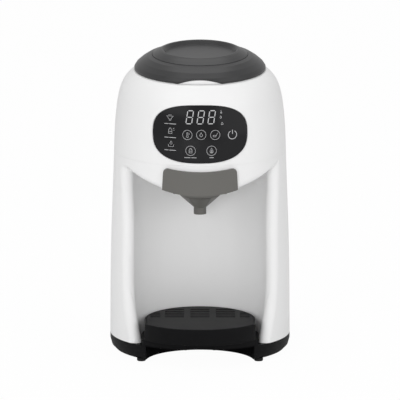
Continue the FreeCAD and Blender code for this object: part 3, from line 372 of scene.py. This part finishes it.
def digitStrokes():
    # seven bars to a digit, each short of its neighbours, leaning with the height
    low, high = printSet["digitLow"], printSet["digitHigh"]
    half = printSet["digitWide"] / 2
    mid = (low + high) / 2
    gap = printSet["digitGap"]
    bars = [((-half + gap, high), (half - gap, high)), ((-half + gap, mid), (half - gap, mid)),
            ((-half + gap, low), (half - gap, low))]
    for x in (-half, half):
        bars += [((x, mid + gap), (x, high - gap)), ((x, low + gap), (x, mid - gap))]
    strokes = []
    for x in printSet["digits"]:
        for bar in bars:
            points = np.array(bar)
            points[:, 0] += x + (points[:, 1] - mid) * printSet["slant"]
            strokes.append(stroke(points, printSet["digitLine"]))
    return strokes


def dropShape(x, z, scale):
    side = [(0, 1.5), (0.35, 0.8), (0.8, 0.1), (0.9, -0.5), (0.6, -1.1), (0, -1.35),
            (-0.6, -1.1), (-0.9, -0.5), (-0.8, 0.1), (-0.35, 0.8)]
    return shifted(side, x, z, scale)


def bottleShape(x, z, scale):
    side = [(-0.45, 1.5), (0.45, 1.5), (0.45, 1.0), (0.95, 0.6), (0.95, -1.4), (-0.95, -1.4),
            (-0.95, 0.6), (-0.45, 1.0)]
    return shifted(side, x, z, scale)


def iconStrokes():
    # rings with tap, drop and scoop, two lower rings, the power sign and three unit signs
    thin = printSet["line"]
    strokes = [stroke(arc(x, z, printSet["ringRound"]), thin, True) for x, z in printSet["rings"]]
    strokes += [stroke(arc(x, z, printSet["lowRingRound"]), thin, True) for x, z in printSet["lowRings"]]
    (tx, tz), (dx, dz), (wx, wz) = printSet["rings"]
    strokes += [stroke(arc(tx, tz - 1.5, 0.9, 125, 415, 24), thin),
                stroke([(tx - 0.5, tz - 0.8), (tx - 0.5, tz + 2.0), (tx + 0.5, tz + 2.0),
                        (tx + 0.5, tz - 0.8)], thin),
                stroke([(tx + 1.3, tz + 1.6), (tx + 2.1, tz + 1.6)], thin),
                stroke([(tx + 1.3, tz + 0.6), (tx + 2.1, tz + 0.6)], thin),
                stroke(dropShape(dx, dz, 1.4), thin, True),
                stroke([(wx - 2.1, wz - 0.4), (wx + 1.1, wz - 0.4), (wx + 2.3, wz + 1.6)], thin),
                stroke([(wx - 2.1, wz - 0.4), (wx - 1.7, wz - 1.7), (wx + 0.5, wz - 1.7),
                        (wx + 1.1, wz - 0.4)], thin)]
    (bx, bz), (fx, fz) = printSet["lowRings"]
    strokes += [stroke(bottleShape(bx, bz, 1.45), thin, True),
                stroke([(bx - 1.3, bz - 0.3), (bx + 1.3, bz - 0.3)], thin),
                stroke(dropShape(fx, fz, 1.7), thin, True),
                stroke(dropShape(fx, fz - 0.7, 0.7), thin, True)]
    px, pz = printSet["power"]
    bold = printSet["powerLine"]
    strokes += [stroke(arc(px, pz, printSet["powerRound"], 120, 420, 40), bold),
                stroke([(px, pz + 0.8), (px, pz + 4.6)], bold)]
    (hx, hz), (vx, vz), (gx, gz) = printSet["units"]
    strokes += [stroke(arc(hx, hz - 0.9, 0.55), thin, True),
                stroke([(hx, hz - 0.3), (hx, hz + 1.3)], printSet["stemLine"]),
                stroke(dropShape(vx, vz, 0.8), thin, True),
                stroke([(gx - 0.9, gz - 1), (gx + 0.9, gz - 1), (gx + 0.55, gz + 0.8),
                        (gx - 0.55, gz + 0.8)], thin, True)]
    return strokes


def leftStrokes():
    # funnel, bottle and basin on the left, with bars in place of their labels
    thin, bar = printSet["fineLine"], printSet["barLine"]
    (ax, az), (cx, cz), (ex, ez) = printSet["leftIcons"]
    strokes = [stroke([(ax - 3, az + 1.6), (ax + 3, az + 1.6), (ax + 0.7, az - 1.2), (ax + 0.7, az - 2.2),
                       (ax - 0.7, az - 2.2), (ax - 0.7, az - 1.2)], thin, True),
               stroke([(ax - 1.5, az + 2.6), (ax + 1.5, az + 2.6)], thin),
               stroke(bottleShape(cx, cz - 0.4, 1.7), thin, True),
               stroke([(cx - 1.6, cz - 0.9), (cx + 1.6, cz - 0.9)], thin),
               stroke([(cx + 2.6, cz + 1.6), (cx + 3.7, cz + 2.4)], thin),
               stroke([(cx + 2.8, cz + 0.4), (cx + 4.0, cz + 0.4)], thin),
               stroke(dropShape(ex, ez + 1.2, 1.1), thin, True),
               stroke([(ex - 2.6, ez - 0.4), (ex - 2.2, ez - 2.4), (ex + 2.2, ez - 2.4), (ex + 2.6, ez - 0.4)],
                      thin)]
    for z in printSet["leftLabels"]:
        strokes += [stroke([(start, z), (end, z)], bar) for start, end in printSet["leftBars"]]
    z = printSet["lowLabels"]
    strokes += [stroke([(start, z), (end, z)], bar) for start, end in printSet["lowBars"]]
    return strokes


def makePrints():
    curve, centre = outerRadius("control_panel")

    def onPanel(flat, lift):
        # y from the radius of the panel at this height, raised outwards by the lift
        reach = np.polyval(curve, flat[:, 1] - centre) + lift
        y = -np.sqrt(reach ** 2 - flat[:, 0] ** 2)
        return np.stack([flat[:, 0] * mm, y * mm + axisY, flat[:, 1] * mm], axis=1)

    piece = ribbonMesh("panelPrint", digitStrokes() + iconStrokes() + leftStrokes(), onPanel,
                       printSet["rise"], printSet["sink"])
    piece.data.materials.append(printGreyPaintedGlow)
    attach(piece, "housing")
    print("panel marks made,", len(piece.data.polygons), "faces")


ribSet = {"topHalf": 10.3, "topHigh": 152.3, "lowHalf": 4.6, "lowHigh": 141.8, "crossHigh": 152.0,
          "wide": 0.9, "rise": 0.5, "sink": 0.4, "sideSteps": 12, "crossSteps": 16}
coneSet = {"spoutY": -22.0, "kneeR": 18.8, "kneeZ": 152.5, "neckR": 5.9, "neckZ": 141.0}


def makeFunnelRibs():
    # two moulded ribs and a cross rib that frame the front of the cone
    strokes = []
    for side in (-1, 1):
        x = np.linspace(ribSet["topHalf"], ribSet["lowHalf"], ribSet["sideSteps"]) * side
        z = np.linspace(ribSet["topHigh"], ribSet["lowHigh"], ribSet["sideSteps"])
        strokes.append(stroke(np.stack([x, z], axis=1), ribSet["wide"]))
    x = np.linspace(-ribSet["topHalf"], ribSet["topHalf"], ribSet["crossSteps"])
    strokes.append(stroke(np.stack([x, np.full(len(x), ribSet["crossHigh"])], axis=1), ribSet["wide"]))

    def onCone(flat, lift):
        # radius between knee and neck by height, y from the circle about the spout axis
        climb = (flat[:, 1] - coneSet["neckZ"]) / (coneSet["kneeZ"] - coneSet["neckZ"])
        reach = coneSet["neckR"] + climb * (coneSet["kneeR"] - coneSet["neckR"]) + lift
        y = coneSet["spoutY"] - np.sqrt(np.maximum(reach ** 2 - flat[:, 0] ** 2, 0.01))
        return np.stack([flat[:, 0] * mm, y * mm + axisY, flat[:, 1] * mm], axis=1)

    piece = ribbonMesh("funnelRibs", strokes, onCone, ribSet["rise"], ribSet["sink"])
    piece.data.materials.append(materials["funnel_grey"])
    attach(piece, "funnel_drawer")
    print("funnel ribs made")


markSet = {"low": 50.0, "high": 215.0, "count": 12, "long": 9.0, "short": 5.0, "every": 3,
           "start": 98.0, "line": 0.7, "side": 68.0, "rise": 0.08, "sink": 0.1}


def makeTankMarks():
    # level lines on both sides of the tank, every third one longer
    strokes = []
    for index, z in enumerate(np.linspace(markSet["low"], markSet["high"], markSet["count"])):
        reach = markSet["long"] if index % markSet["every"] == 0 else markSet["short"]
        strokes.append(stroke([(markSet["start"], z), (markSet["start"] + reach, z)], markSet["line"]))
    for side in (-1, 1):
        def onSide(flat, lift, side=side):
            # x is the side face of the tank plus the lift, y and z come from the flat
            x = np.full(len(flat), side * (markSet["side"] + lift))
            return np.stack([x * mm, flat[:, 0] * mm + axisY, flat[:, 1] * mm], axis=1)

        piece = ribbonMesh("tankMarks" + ("Right" if side > 0 else "Left"), strokes, onSide,
                           markSet["rise"], markSet["sink"])
        piece.data.materials.append(printGreyPaintedGlow)
        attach(piece, "tank")
    print("tank marks made")


floorSet = {"half": 6.0, "colour": 0.86, "rough": 0.9, "glow": 0.97}


def makeFloor():
    half = floorSet["half"]
    mesh = bpy.data.meshes.new("floor")
    mesh.from_pydata([(-half, -half, 0), (half, -half, 0), (half, half, 0), (-half, half, 0)], [],
                     [(0, 1, 2, 3)])
    floor = placed("floor", mesh)
    material = bpy.data.materials.new("floorPaper")
    material.use_nodes = True
    tree = material.node_tree
    shader = tree.nodes["Principled BSDF"]
    grey = floorSet["colour"]
    shader.inputs["Base Color"].default_value = (grey, grey, grey, 1)
    shader.inputs["Roughness"].default_value = floorSet["rough"]
    glow = tree.nodes.new("ShaderNodeEmission")
    path = tree.nodes.new("ShaderNodeLightPath")
    share = tree.nodes.new("ShaderNodeMath")
    share.operation = "MULTIPLY"
    share.inputs[1].default_value = floorSet["glow"]
    blend = tree.nodes.new("ShaderNodeMixShader")
    tree.links.new(path.outputs["Is Camera Ray"], share.inputs[0])
    tree.links.new(share.outputs[0], blend.inputs["Fac"])
    tree.links.new(shader.outputs["BSDF"], blend.inputs[1])
    tree.links.new(glow.outputs["Emission"], blend.inputs[2])
    tree.links.new(blend.outputs["Shader"], tree.nodes["Material Output"].inputs["Surface"])
    mesh.materials.append(material)


makeCamera()
makeLights()
makeWorld()
makeFloor()
print("camera, light and floor made")
dressNodes()
makeSoft()
makePrints()
makeFunnelRibs()
makeTankMarks()
